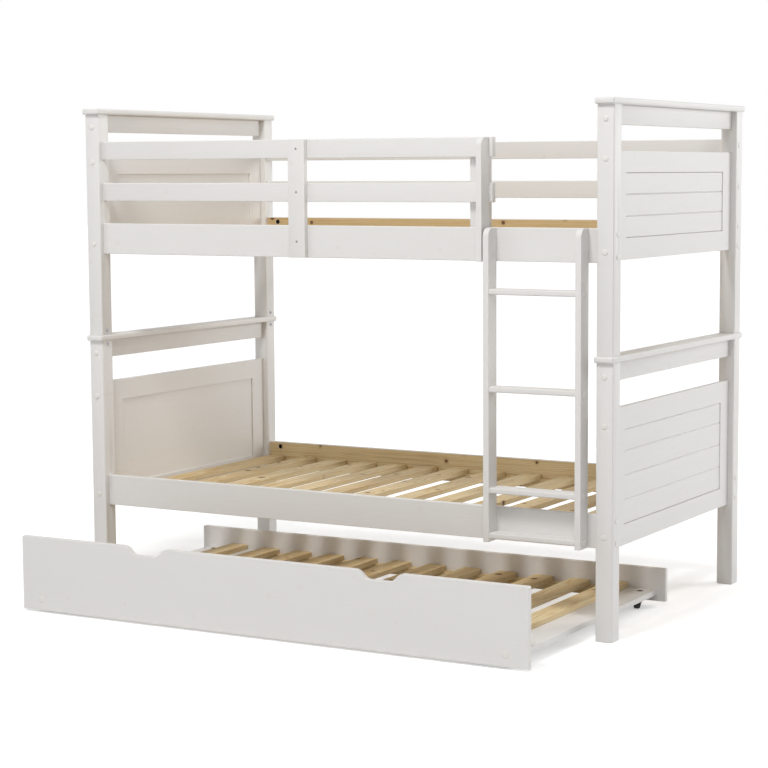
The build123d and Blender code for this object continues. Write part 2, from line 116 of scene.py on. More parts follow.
# Heads of the fasteners, in metres, and how far each may be turned, in radians
HEAD_HEIGHT = 0.002
LOCK_HEAD_HEIGHT = 0.003
NUT_RADIUS = 0.005
SCREW_TURN = 6.28
NUT_TURN = 1.2
LOCK_TURN = 1.0

# Castors, in metres; each section lists pairs of a radius and a place along the axis
PLATE_GAP = 0.0003
CLIP_DEPTH = 0.0077
ARM_INNER = 0.0085
ARM_OUTER = 0.0115
ARM_FRONT = 0.001
ARM_BACK = 0.0125
ARM_DROP = 0.0038
ARM_HALF = 0.003
ARM_EYE = 0.006
AXLE_RADIUS = 0.0025
HUB_RADIUS = 0.012
FORK_CUP = [
    (0, -0.0068), (0.0085, -0.0068), (0.0105, -0.0045), (0.0108, -0.0030), (0.0132, -0.0028),
    (0.0137, -0.0020), (0.0137, -0.0006), (0.0131, 0), (0.0040, 0),
]
STEM_CLIP = [
    (0.0040, 0), (0.0068, 0), (0.0075, 0.0005), (0.0075, 0.0012), (0.0068, 0.0018),
    (0.0046, 0.0024), (0.0040, 0.0024), (0.0040, 0.0029), (0.0032, 0.0037), (0, 0.0037),
]
RIVET = [(0, 0), (0.0040, 0), (0.0038, 0.0006), (0.0024, 0.0010), (0, 0.0011)]
WHEEL_SIDE = [
    (0.0026, -0.0080), (0.0052, -0.0080), (0.0058, -0.0074), (0.0062, -0.0056), (0.0106, -0.0052),
    (0.0114, -0.0058), (0.0118, -0.0077), (0.0134, -0.0080), (0.0144, -0.0075), (0.0149, -0.0064),
    (0.0150, -0.0050), (0.0150, -0.0008), (0.0147, -0.0004),
]

# Grain, in metres: how far the rings wander, the knots' radii and how far a knot pushes the rings aside.
# The sharpness of a knot's outline is per metre.
RING_WANDER = 0.030
KNOT_LEAST = 0.0035
KNOT_RANGE = 0.0075
KNOT_SQUEEZE = 0.012
KNOT_HALO = 0.012
KNOT_PUSH = 0.0075
KNOT_REACH = 0.013
KNOT_SHARPNESS = 700.0

# Where in the log a board may be cut from, in metres
SHIFT_LOW = (0.0, -0.024, 0.022)
SHIFT_HIGH = (40.0, 0.024, 0.065)

# Distances too small to matter, in metres, and angles past which an edge is kept or sharp, in degrees
SAME_PLACE = 0.0001
MERGED = 0.00001
KEPT_ANGLE = 0.5
BOARD_ANGLE = 24
CASTOR_ANGLE = 35
FASTENER_ANGLE = 40

# How much of its normal lies along an axis in a face that looks that way, and in one beside it
ALONG = 0.99
BESIDE = 0.1

# Studio, in metres and degrees: the camera, the lamps' places and sizes, and the floor's glow by distance,
# dimmed near the bed as painted shade round it
CAMERA_PLACE = (3.5623, -6.1451, 1.4540)
CAMERA_YAW = 28.802
CAMERA_TILT = 83.894
CAMERA_ROLL = -0.239
CAMERA_SHIFT = (-0.0599, 0.0143)
LAMPS = {
    "key": ((0.3, -3.6, 6.0), 1.2),
    "right": ((2.6, -4.4, 5.4), 1.6),
    "fill": ((-4.5, -4.5, 2.2), 3.4),
    "corner": ((4.6, 4.6, 2.6), 3.4),
}
LAMP_TARGET = (0.0, 0.2, 0.7)
FLOOR_HALF = 40.0
GLOW_START = 1.1
GLOW_RUN = 1.6
SHADED_NEAR_GLOW = 0.55
WHITE = (1.0, 1.0, 1.0, 1.0)

UP = (0.0, 0.0, 1.0)


# Settings that a user would change

def colour_setting(name, description, *screen):
    """A colour, its default written in screen values from 0 to 255."""
    parts = [value / 255 for value in screen]
    default = [v / 12.92 if v <= 0.04045 else ((v + 0.055) / 1.055) ** 2.4 for v in parts]
    return FloatVectorProperty(
        name=name, description=description, default=(*default, 1.0), subtype="COLOR", size=4, min=0, max=1
    )


def number_setting(name, description, default, **kind):
    """A number from zero up, with its unit or subtype."""
    return FloatProperty(name=name, description=description, default=default, min=0, **kind)


def length_setting(name, description, default):
    return number_setting(name, description, default, unit="LENGTH")


def power_setting(name, description, default):
    return number_setting(name, description, default, unit="POWER")


def roughness_setting(description, default):
    return number_setting("Roughness", description, default, max=1, subtype="FACTOR")


def group_setting(group, name, description):
    return PointerProperty(type=group, name=name, description=description)


class PaintSettings(PropertyGroup):
    """The satin paint on the boards."""

    colour: colour_setting("Paint", "Colour of the painted boards", 228, 226, 224)
    # A colour a little paler than the paint, mixed in patches onto the rounded edges.
    pale_edge: colour_setting("Edges", "Colour where the paint is thin on the edges", 235, 232, 228)
    knot: colour_setting("Knots", "Tint that knots give to the paint over them", 214, 206, 192)
    roughness: roughness_setting("Roughness of the paint", 0.44)
    edge: length_setting("Edge radius", "How far the boards' edges are rounded", 0.0009)
    redrawn_edge: length_setting("Round edge", "The same for boards that have no chamfer", 0.0022)


class PineSettings(PropertyGroup):
    """The bare pine of slats, ledgers and battens."""

    early: colour_setting("Early wood", "Colour between the rings", 229, 213, 174)
    late: colour_setting("Late wood", "Colour of the rings", 208, 173, 117)
    knot: colour_setting("Knots", "Colour of the knots", 92, 58, 33)
    knot_rim: colour_setting("Knot rims", "Colour of the bark line round a knot", 46, 30, 18)
    # This near-black brown is painted shade: the holes' end grain darkened to how dark their depth looks.
    bored: colour_setting("Bored holes", "Colour of the wood inside a bored hole", 62, 42, 27)
    ring: length_setting("Ring spacing", "Distance between two growth rings", 0.0042)
    knot_spacing: length_setting("Knot spacing", "Mean distance between knots along a board", 0.13)
    roughness: roughness_setting("Roughness of the planed wood", 0.62)


class HardwareSettings(PropertyGroup):
    """Caps, screws and castors."""

    cap: colour_setting("Caps", "Colour of the screw caps", 232, 229, 224)
    steel: colour_setting("Steel", "Colour of the plated steel", 188, 190, 194)
    # A plain dark steel colour, given to the rails' nuts and to the guard plate's screws.
    nut: colour_setting("Nuts", "Colour of the burnished nuts in the rails", 78, 66, 54)
    plastic: colour_setting("Castor plastic", "Colour of the wheels' hubs", 34, 34, 36)
    tread: colour_setting("Tread", "Colour of the wheels' treads", 24, 24, 25)
    cap_radius: length_setting("Cap radius", "Radius of a screw cap", 0.0098)
    wide_cap_radius: length_setting("Wide cap radius", "Radius of a cap on the trundle's front", 0.0118)
    cap_height: length_setting("Cap height", "Height of a screw cap on the posts", 0.0026)
    screw_radius: length_setting("Slat screw radius", "Radius of a slat screw's head", 0.004)
    plate_screw_radius: length_setting("Plate screw radius", "Radius of a guard plate screw's head", 0.0036)
    seed: IntProperty(name="Seed", description="Seed of the screws' turns", default=11, min=0)


class StageSettings(PropertyGroup):
    """Camera, floor and light."""

    lens: number_setting("Lens", "Focal length", 97.77, unit="CAMERA")
    floor: colour_setting("Floor", "Colour of the floor", 236, 236, 236)
    glow: number_setting("Floor glow", "How much paler the camera sees the floor", 0.8)
    sky: number_setting("Sky", "Strength of the even light", 0.368)
    key: power_setting("Key light", "Power of the high light in front", 171)
    right: power_setting("Right light", "Power of the high light at the front right", 61)
    fill: power_setting("Fill light", "Power of the low light at the front left", 36)
    corner: power_setting("Corner light", "Power of the light at the back right", 156)


class BunkBedSettings(PropertyGroup):
    """All the settings of the bunk bed."""

    paint: group_setting(PaintSettings, "Paint", "The satin paint")
    pine: group_setting(PineSettings, "Pine", "The bare pine")
    hardware: group_setting(HardwareSettings, "Hardware", "Caps, screws and castors")
    stage: group_setting(StageSettings, "Stage", "Camera, floor and light")


def settings():
    return bpy.context.scene.bunk_bed


# Node trees

def sum_node(operation, reflected=False):
    """A method of Socket that adds the Math node of a sum."""

    def method(self, value):
        return self.graph.math(operation, *((value, self) if reflected else (self, value)))

    return method


class Socket:
    """An output of a node tree. A sum on it adds the Math node that works it out."""

    def __init__(self, graph, link):
        self.graph = graph
        self.link = link

    def through(self, operation):
        """This value through a Math node that takes only one."""
        return self.graph.math(operation, self)

    def other(self, name):
        """Another output of the same node."""
        return Socket(self.graph, self.link.node.outputs[name])

    __add__ = __radd__ = sum_node("ADD")
    __mul__ = __rmul__ = sum_node("MULTIPLY")
    __sub__ = sum_node("SUBTRACT")
    __rsub__ = sum_node("SUBTRACT", reflected=True)
    __truediv__ = sum_node("DIVIDE")
    __rtruediv__ = sum_node("DIVIDE", reflected=True)
    __pow__ = sum_node("POWER")


class Graph:
    """A node tree that is filled one node at a time."""

    def __init__(self, tree):
        self.tree = tree
        tree.nodes.clear()

    def node(self, kind, values=(), result=0, **options):
        """Add a node: its options first, then the values or links of its inputs, by name or in order."""
        made = self.tree.nodes.new(kind)
        for name, option in options.items():
            setattr(made, name, option)
        inputs = [socket for socket in made.inputs if socket.enabled]
        named = {socket.name: socket for socket in reversed(inputs)}
        for key, value in values.items() if isinstance(values, dict) else enumerate(values):
            target = named[key] if isinstance(key, str) else inputs[key]
            if isinstance(value, Socket):
                self.tree.links.new(value.link, target)
            else:
                target.default_value = value
        outputs = [socket for socket in made.outputs if socket.enabled]
        if not outputs:
            return None
        return Socket(self, outputs[result] if isinstance(result, int) else made.outputs[result])

    def math(self, operation, *values):
        return self.node("ShaderNodeMath", values, operation=operation)

    def vector(self, operation, *values, result=0):
        return self.node("ShaderNodeVectorMath", values, result, operation=operation)

    def mix(self, factor, first, second):
        values = {"Factor": factor, "A": first, "B": second}
        return self.node("ShaderNodeMix", values, data_type="RGBA", clamp_factor=True)

    def noise(self, place, scale, detail=2.0, roughness=0.5):
        """Soft noise from 0 to 1, at one scale or at one along each axis of the place."""
        along = scale if isinstance(scale, tuple) else (scale, scale, scale)
        stretched = self.vector("MULTIPLY", place, along)
        values = {"Vector": stretched, "Scale": 1.0, "Detail": detail, "Roughness": roughness}
        return self.node("ShaderNodeTexNoise", values, noise_dimensions="3D")

    def clamped(self, value):
        return self.node("ShaderNodeClamp", {"Value": value})

    def own_place(self):
        return self.node("ShaderNodeTexCoord", result="Object")

    def attribute(self, name, result="Vector"):
        return self.node("ShaderNodeAttribute", result=result, attribute_name=name)


# Wood: every board carries where a point lies along, across and through it

class Grain:
    """The rings, fibres and knots that bare pine shows and paint lets through, each from 0 to 1."""

    def __init__(self, graph):
        pine = settings().pine
        shift = graph.attribute("shift")
        place = graph.vector("ADD", graph.attribute("grain"), shift)
        wander = graph.noise(place, (2.6, 16.0, 16.0))
        parts = graph.node("ShaderNodeSeparateColor", {"Color": wander.other("Color")})
        xyz = graph.node("ShaderNodeSeparateXYZ", {"Vector": place})
        across = xyz.other("Y") + (parts.other("Green") - 0.5) * RING_WANDER
        through = xyz.other("Z") + (parts.other("Blue") - 0.5) * RING_WANDER
        knot_place = graph.vector("MULTIPLY", place, (1 / pine.knot_spacing, 1 / pine.knot_spacing, 0.0))
        knots = graph.node(
            "ShaderNodeTexVoronoi", {"Vector": knot_place, "Scale": 1.0, "Randomness": 1.0},
            voronoi_dimensions="2D", feature="F1",
        )
        pick = graph.node("ShaderNodeSeparateColor", {"Color": knots.other("Color")})
        distance = knots * pine.knot_spacing + (parts.other("Red") - 0.5) * KNOT_SQUEEZE
        outside = distance - (pick.other("Red") * KNOT_RANGE + KNOT_LEAST)
        shown = graph.clamped((pick.other("Green") - 0.20) * 40.0)
        pushed = KNOT_PUSH / (1 + (distance / KNOT_REACH) ** 2.0) * shown
        radius = (across * across + through * through).through("SQRT") + pushed
        phase = radius * (2 * math.pi / pine.ring) + (wander - 0.5) * 5.0
        self.place = place
        self.knot = graph.clamped(outside * -KNOT_SHARPNESS) * shown
        self.knot_rim = (1 - graph.clamped(outside.through("ABSOLUTE") * KNOT_SHARPNESS)) * shown
        self.halo = graph.clamped(1 - outside / KNOT_HALO) * shown
        self.ring = (phase.through("SINE") * 0.5 + 0.5) ** 2.2
        self.fibre = graph.noise(place, (26.0, 900.0, 900.0), detail=3.0, roughness=0.6)
        self.streak = graph.noise(place, (3.0, 160.0, 160.0))
        self.tone = graph.noise(shift, (1.3, 61.0, 47.0), detail=0.0)


class Finish(Graph):
    """The node tree of a new material."""

    def __init__(self, name):
        self.material = bpy.data.materials.new(name)
        self.material.use_nodes = True
        super().__init__(self.material.node_tree)

    def done(self, colour, roughness, height, depth, metallic=0.0):
        """Add the shader and return the material. Its bump is a height from 0 to 1 and a depth in metres."""
        bump = self.node("ShaderNodeBump", {"Height": height, "Distance": depth, "Strength": 1.0})
        values = {"Base Color": colour, "Metallic": metallic, "Roughness": roughness, "Normal": bump}
        shader = self.node("ShaderNodeBsdfPrincipled", values)
        self.node("ShaderNodeOutputMaterial", {"Surface": shader})
        return self.material


def bare_pine():
    """Planed pine with rings, fibres and knots, each board cut from its own place in the log."""
    pine = settings().pine
    finish = Finish("bare_pine")
    grain = Grain(finish)
    body = finish.mix(grain.ring * 0.80, pine.early, pine.late)
    body = finish.mix(grain.fibre - 0.45, body, pine.late)
    deep = finish.mix(0.30, pine.late, pine.knot)
    body = finish.mix((grain.streak - 0.48) * 2.2, body, deep)
    body = finish.mix((grain.tone - 0.42) * 1.3, body, deep)
    body = finish.mix(grain.halo * 0.55, body, deep)
    body = finish.mix(grain.knot * 0.92, body, pine.knot)
    body = finish.mix(grain.knot_rim * 0.8, body, pine.knot_rim)
    height = grain.ring * 0.35 + grain.fibre * 0.65 - grain.knot_rim * 0.8
    return finish.done(body, (grain.fibre - 0.5) * 0.20 + pine.roughness, height, depth=0.00022)


def bored_pine():
    """Torn end grain inside a bored hole, darkened far past its own colour: painted shade of the hole's
    depth.
    """
    pine = settings().pine
    finish = Finish("bored_pine")
    place = finish.own_place()
    torn = finish.noise(place, 1400.0, detail=3.0)
    body = finish.mix(finish.noise(place, 220.0) * 0.7, pine.bored, pine.knot_rim)
    return finish.done(body, torn * 0.20 + 0.72, torn, depth=0.0002)


def painted_wood():
    """Satin paint over pine: the grain just shows, the rounded edges turn paler in patches and the roller
    leaves its mark.
    """
    paint = settings().paint
    finish = Finish("painted_wood")
    grain = Grain(finish)
    shade = finish.mix(0.55, paint.colour, paint.knot)
    body = finish.mix(grain.ring * 0.15 + (grain.streak - 0.5) * 0.40, paint.colour, shade)
    body = finish.mix((grain.tone - 0.5) * 0.35, body, shade)
    body = finish.mix(grain.knot * 0.14, body, paint.knot)
    rim = finish.attribute("rim", "Fac")
    patchy = finish.noise(grain.place, (35.0, 90.0, 90.0))
    # The rounded rim faces turn paler in patches.
    body = finish.mix(rim * (patchy * 0.9 + 0.15), body, paint.pale_edge)
    roller = finish.noise(grain.place, 620.0)
    brushed = finish.noise(grain.place, (9.0, 520.0, 520.0), roughness=0.55)
    height = grain.ring * 0.22 + brushed * 0.60 + roller * 0.35 - grain.knot_rim * 0.25
    rough = (roller - 0.5) * 0.10 + (grain.streak - 0.5) * 0.10 - rim * 0.06 + paint.roughness
    return finish.done(body, rough, height, depth=0.00012)


def scaled(colour, factor, lift=0.0):
    """A colour times a factor, plus a lift."""
    return (*(value * factor + lift for value in colour[:3]), 1.0)


def cap_plastic():
    """The moulded plastic of the screw caps, a little cloudy."""
    colour = settings().hardware.cap
    finish = Finish("cap_plastic")
    place = finish.own_place()
    cloud = finish.noise(place, 180.0)
    fine = finish.noise(place, 2600.0, detail=1.0)
    body = finish.mix(cloud * 0.6, colour, scaled(colour, 0.90))
    return finish.done(body, cloud * 0.12 + 0.30, fine, depth=0.00002)


def steel(name, colour):
    """Plated or dark steel, cloudy and lightly scratched."""
    finish = Finish(name)
    place = finish.own_place()
    cloud = finish.noise(place, 240.0, detail=3.0)
    scratch = finish.noise(place, (300.0, 4000.0, 900.0))
    body = finish.mix(cloud, colour, scaled(colour, 0.62))
    return finish.done(body, cloud * 0.22 + 0.24, scratch, depth=0.00002, metallic=1.0)


def castor_plastic(name, colour, gloss):
    """The black plastic of a castor's hub or tread, with scuffs and dust."""
    finish = Finish(name)
    place = finish.own_place()
    dust = finish.noise(place, 140.0, detail=4.0, roughness=0.65)
    fine = finish.noise(place, 1500.0)
    body = finish.mix((dust - 0.45) * 1.4, colour, scaled(colour, 2.6, lift=0.010))
    return finish.done(body, dust * 0.25 + gloss, fine, depth=0.00004)


MAKERS = {
    "painted_wood": painted_wood,
    "bare_pine": bare_pine,
    "bored_pine": bored_pine,
    "fastener_caps": cap_plastic,
    "zinc_steel": lambda: steel("plated_steel", settings().hardware.steel),
    "nut_steel": lambda: steel("burnished_steel", settings().hardware.nut),
    "castor_plastic": lambda: castor_plastic("castor_hub", settings().hardware.plastic, 0.30),
    "wheel_tread": lambda: castor_plastic("castor_tread", settings().hardware.tread, 0.42),
}


@cache
def finish_of(slot):
    """A material by its name in MAKERS, made when it is first asked for."""
    return MAKERS[slot]()


# Meshes

def new_object(name, data):
    """An object at the origin, linked to the scene."""
    made = bpy.data.objects.new(name, data)
    bpy.context.scene.collection.objects.link(made)
    return made


def new_piece(name, mesh, slot):
    """An object at the origin with the slot's material."""
    mesh.name = name
    mesh.materials.clear()
    mesh.materials.append(finish_of(slot))
    return new_object(name, mesh)


def filled(name, bm, slot):
    """A piece from a bmesh, its faces turned outwards."""
    bmesh.ops.recalc_face_normals(bm, faces=bm.faces)
    mesh = bpy.data.meshes.new(name)
    bm.to_mesh(mesh)
    bm.free()
    return new_piece(name, mesh, slot)


def settle(piece):
    """Turn a piece's modifiers into plain mesh."""
    depsgraph = bpy.context.evaluated_depsgraph_get()
    before = piece.data
    after = bpy.data.meshes.new_from_object(
        piece.evaluated_get(depsgraph), preserve_all_data_layers=True, depsgraph=depsgraph
    )
    piece.modifiers.clear()
    piece.data = after
    after.name = piece.name
    bpy.data.meshes.remove(before)


def remove(piece):
    """Delete an object and its mesh."""
    mesh = piece.data
    bpy.data.objects.remove(piece)
    bpy.data.meshes.remove(mesh)


def islands(mesh):
    """The vertex numbers of each loose part of a mesh."""
    parent = list(range(len(mesh.vertices)))

    def root(i):
        while parent[i] != i:
            parent[i] = parent[parent[i]]
            i = parent[i]
        return i

    for a, b in mesh.edge_keys:
        parent[root(a)] = root(b)
    groups = {}
    for i in range(len(parent)):
        groups.setdefault(root(i), []).append(i)
    return list(groups.values())


def vertex_places(mesh):
    places = np.empty(len(mesh.vertices) * 3, np.float32)
    mesh.vertices.foreach_get("co", places)
    return places.reshape(-1, 3)


def add_layer(mesh, name, values, domain="POINT"):
    """Store a number or a vector on each point or face of a mesh."""
    values = np.asarray(values, np.float32)
    kind, field = ("FLOAT_VECTOR", "vector") if values.ndim == 2 else ("FLOAT", "value")
    mesh.attributes.new(name, kind, domain).data.foreach_set(field, values.ravel())


def mark_boards(piece):
    """Give each board its grain: along its length, across its width and through its thickness."""
    places = vertex_places(piece.data)
    grain = np.zeros_like(places)
    shift = np.zeros_like(places)
    dice = random.Random(zlib.crc32(piece.name.encode()))
    for board in islands(piece.data):
        own = places[board]
        low, high = own.min(0), own.max(0)
        order = np.argsort(low - high, kind="stable")
        grain[board] = (own - (low + high) / 2)[:, order]
        shift[board] = [dice.uniform(*limits) for limits in zip(SHIFT_LOW, SHIFT_HIGH)]
    add_layer(piece.data, "grain", grain)
    add_layer(piece.data, "shift", shift)


def ease_edges(piece, radius):
    """Round a piece's sharp edges and mark the rounded faces as its rim."""
    piece.data.materials.append(piece.data.materials[0])
    piece.data.shade_smooth()
    bevel = piece.modifiers.new("eased edges", "BEVEL")
    bevel.width = radius
    bevel.segments = 2
    bevel.limit_method = "ANGLE"
    bevel.angle_limit = math.radians(BOARD_ANGLE)
    bevel.use_clamp_overlap = False
    bevel.harden_normals = True
    bevel.material = 1
    settle(piece)
    mesh = piece.data
    numbers = np.zeros(len(mesh.polygons), np.int32)
    mesh.polygons.foreach_get("material_index", numbers)
    add_layer(mesh, "rim", numbers == 1, "FACE")
    mesh.polygons.foreach_set("material_index", np.zeros_like(numbers))
    mesh.materials.pop(index=1)


def smooth_by_angle(mesh, degrees):
    """Shade smooth, and keep edges sharp where the faces meet at more than an angle."""
    mesh.shade_smooth()
    bm = bmesh.new()
    bm.from_mesh(mesh)
    for edge in bm.edges:
        edge.smooth = len(edge.link_faces) == 2 and edge.calc_face_angle() < math.radians(degrees)
    bm.to_mesh(mesh)
    bm.free()


# Forms that boards, fasteners and castors are drawn with

# For a shape along each axis: which of its two values across and its value along are a point's x, y and z
AXIS_ORDER = {"X": (2, 0, 1), "Y": (0, 2, 1), "Z": (0, 1, 2)}


def laid(axis, first, second, along):
    """A point of a shape that runs along an axis."""
    return Vector([(first, second, along)[i] for i in AXIS_ORDER[axis]])


def plank(bm, outline, axis, low, high):
    """Add a board to a bmesh: an outline in the plane across an axis, from low to high along it."""
    bottom, top = ([bm.verts.new(laid(axis, a, b, level)) for a, b in outline] for level in (low, high))
    bm.faces.new(bottom)
    bm.faces.new(top)
    for i in range(len(outline)):
        j = (i + 1) % len(outline)
        bm.faces.new((bottom[i], bottom[j], top[j], top[i]))


def lathe(bm, profile, sides, centre=(0, 0, 0), axis="Z"):
    """Spin a profile of (radius, height), or of those and flats. Its ends meet the axis or each other."""
    rings = []
    for radius, height, *flats in profile:
        ring = []
        for i in range(1 if radius == 0 else sides):
            t = 2 * math.pi * i / sides
            r = radius
            if flats:
                half = math.pi / flats[0]
                r = radius * math.cos(half) / math.cos(t % (2 * half) - half)
            ring.append(bm.verts.new(Vector(centre) + laid(axis, r * math.cos(t), r * math.sin(t), height)))
        rings.append(ring)
    pairs = list(zip(rings, rings[1:]))
    if len(rings[0]) > 1 and len(rings[-1]) > 1:
        pairs.append((rings[-1], rings[0]))
    for lower, upper in pairs:
        for i in range(sides):
            j = (i + 1) % sides
            if len(lower) == 1:
                bm.faces.new((lower[0], upper[i], upper[j]))
            elif len(upper) == 1:
                bm.faces.new((lower[i], lower[j], upper[0]))
            else:
                bm.faces.new((lower[i], lower[j], upper[j], upper[i]))


def cylinder(radius, low, high):
    """The profile that spins into a cylinder."""
    return [(0, low), (radius, low), (radius, high), (0, high)]


def arc(centre, radius, start, end, steps=ARC_STEPS):
    """Points on an arc between two angles in degrees."""
    angles = [math.radians(start + (end - start) * i / steps) for i in range(steps + 1)]
    return [(centre[0] + radius * math.cos(t), centre[1] + radius * math.sin(t)) for t in angles]


def s_curve(high, low):
    """Points of two equal arcs between two points, level at both ends."""
    run = abs(low[0] - high[0]) / 2
    drop = (high[1] - low[1]) / 2
    radius = (run * run + drop * drop) / (2 * drop)
    sweep = math.degrees(math.asin(run / radius))
    towards = 1 if low[0] > high[0] else -1
    falling = arc((high[0], high[1] - radius), radius, 90, 90 - towards * sweep)
    rising = arc((low[0], low[1] + radius), radius, 270 - towards * sweep, 270)
    return falling + rising[1:]


def rounded_rectangle(low, high, radius, steps):
    """The outline between two corners, its own corners rounded, or chamfered by a single step."""
    left, bottom = (value + radius for value in low)
    right, top = (value - radius for value in high)
    outline = []
    for i, centre in enumerate(((right, top), (left, top), (left, bottom), (right, bottom))):
        outline += arc(centre, radius, 90 * i, 90 * i + 90, steps)
    return outline


def rounded_upright(node):
    """The outline of an upright from the side, its front top corner rounded."""
    low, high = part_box(node)
    corner = arc((low.y + LADDER_CORNER, high.z - LADDER_CORNER), LADDER_CORNER, 180, 90)
    return [(high.y, low.z), (low.y, low.z), *corner, (high.y, high.z)]


# Nodes of the frame and the pieces that stand for them

def node_bmesh(node):
    """A merged copy of a CAD node's mesh."""
    bm = bmesh.new()
    bm.from_mesh(frame["nodes"][node].data)
    bmesh.ops.remove_doubles(bm, verts=bm.verts, dist=MERGED)
    return bm


def solids_of(node):
    """The corner places of each solid of a node."""
    bm = node_bmesh(node)
    mesh = bpy.data.meshes.new("solids")
    bm.to_mesh(mesh)
    bm.free()
    places = vertex_places(mesh)
    groups = [places[group] for group in islands(mesh)]
    bpy.data.meshes.remove(mesh)
    return groups


def boxes_of(node):
    """The lowest and the highest corner of each solid of a node."""
    return [(Vector(solid.min(0)), Vector(solid.max(0))) for solid in solids_of(node)]


def ride_with(piece, node):
    """Let a piece move with a node's body."""
    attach(piece, frame["nodes"][node]["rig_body"])


def stand_for(piece, node):
    """Let a piece move with a node's body and take the node's place."""
    ride_with(piece, node)
    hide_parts(node)


def finished_boards(node, bm, slot, radius, pits=()):
    """Let a bmesh's boards stand for a node: bored, with painted shade inside the holes, their edges eased,
    each with its own grain.
    """
    piece = filled(f"finished_{node}", bm, slot)
    if pits:
        bore(piece, pits)
    ease_edges(piece, radius)
    mark_boards(piece)
    if pits:
        # Paint shade into the bored holes: their walls and floors turn near black.
        paint_pit_shade(piece.data, pits)
    stand_for(piece, node)
    return piece


def bore(piece, pits):
    """Cut round holes in a piece: each a centre, an axis, a radius and a span along the axis."""
    bm = bmesh.new()
    for centre, axis, radius, (low, high) in pits:
        lathe(bm, cylinder(radius, low, high), sides=40, centre=centre, axis=axis)
    cutter = filled("cutter", bm, "painted_wood")
    cut = piece.modifiers.new("bored", "BOOLEAN")
    cut.operation = "DIFFERENCE"
    cut.solver = "EXACT"
    cut.object = cutter
    settle(piece)
    remove(cutter)


def paint_pit_shade(mesh, pits):
    """Paint the shade of bored holes onto their walls and floors as dark torn wood, but leave their eased
    rims painted.
    """
    mesh.materials.append(finish_of("bored_pine"))
    for face in mesh.polygons:
        for centre, axis, radius, (low, high) in pits:
            place = face.center - Vector(centre)
            depth = place["XYZ".index(axis)]
            across = math.sqrt(max(place.length_squared - depth * depth, 0.0))
            wall = abs(face.normal["XYZ".index(axis)]) < BESIDE
            inside = across < radius + 2 * SAME_PLACE and low - SAME_PLACE < depth < high
            if inside and (wall or across < radius - 5 * SAME_PLACE):
                face.material_index = 1


def eased_board(node, slot="painted_wood"):
    """Replace a node by the same boards with rounded edges and their own grain."""
    bm = node_bmesh(node)
    bmesh.ops.dissolve_limit(bm, angle_limit=math.radians(KEPT_ANGLE), verts=bm.verts, edges=bm.edges)
    finished_boards(node, bm, slot, settings().paint.edge)


def redrawn(node, outlines, axis, radius, pits=(), spans=None):
    """Replace a painted node by drawn boards, which are as long as the node if no spans are given."""
    whole = [corner["XYZ".index(axis)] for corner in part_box(node)]
    bm = bmesh.new()
    for span in spans or [whole]:
        for outline in outlines:
            plank(bm, outline, axis, *span)
    return finished_boards(node, bm, "painted_wood", radius, pits)


# What repeats: a Geometry Nodes tree that copies a template piece

def random_vector(graph, low, high, seed):
    values = {"Min": low, "Max": high, "Seed": seed}
    return graph.node("FunctionNodeRandomValue", values, data_type="FLOAT_VECTOR")


@cache
def copies_tree():
    """The tree and its inputs' identifiers. Each copy gets its own facing, spin, nudge and grain."""
    graph = Graph(bpy.data.node_groups.new("copies on marked points", "GeometryNodeTree"))
    inputs = {
        "Geometry": "Geometry", "Piece": "Object", "Size": "Vector", "Turn": "Float", "Play": "Float",
        "Seed": "Int", "Material": "Material",
    }
    identifiers = {}
    for label, kind in inputs.items():
        socket = graph.tree.interface.new_socket(label, in_out="INPUT", socket_type=f"NodeSocket{kind}")
        identifiers[label] = socket.identifier
    graph.tree.interface.new_socket("Geometry", in_out="OUTPUT", socket_type="NodeSocketGeometry")
    given = graph.node("NodeGroupInput")
    seed = given.other("Seed")
    play = graph.node("ShaderNodeCombineXYZ", {"X": given.other("Play")})
    nudge = random_vector(graph, graph.vector("SCALE", play, -1.0), play, seed)
    placed = graph.node("GeometryNodeSetPosition", {"Geometry": given, "Offset": nudge})
    facing = graph.node("GeometryNodeInputNamedAttribute", {"Name": "facing"}, data_type="FLOAT_VECTOR")
    turned = graph.node("FunctionNodeAlignRotationToVector", {"Vector": facing}, axis="Z")
    turns = {"Min": 0.0, "Max": given.other("Turn"), "Seed": seed}
    spin = graph.node("FunctionNodeRandomValue", turns, data_type="FLOAT")
    spun = graph.node("ShaderNodeCombineXYZ", {"Z": spin})
    copies = graph.node("GeometryNodeInstanceOnPoints", {
        "Points": placed,
        "Instance": graph.node("GeometryNodeObjectInfo", {"Object": given.other("Piece")}, "Geometry"),
        "Rotation": graph.node("FunctionNodeRotateRotation", (turned, spun), rotation_space="LOCAL"),
        "Scale": given.other("Size"),
    })
    shifted = graph.node(
        "GeometryNodeStoreNamedAttribute",
        {"Geometry": copies, "Name": "shift", "Value": random_vector(graph, SHIFT_LOW, SHIFT_HIGH, seed)},
        data_type="FLOAT_VECTOR", domain="INSTANCE",
    )
    real = graph.node("GeometryNodeRealizeInstances", {"Geometry": shifted})
    dressed = graph.node("GeometryNodeSetMaterial", {"Geometry": real, "Material": given.other("Material")})
    graph.node("NodeGroupOutput", (dressed,))
    return graph.tree, identifiers


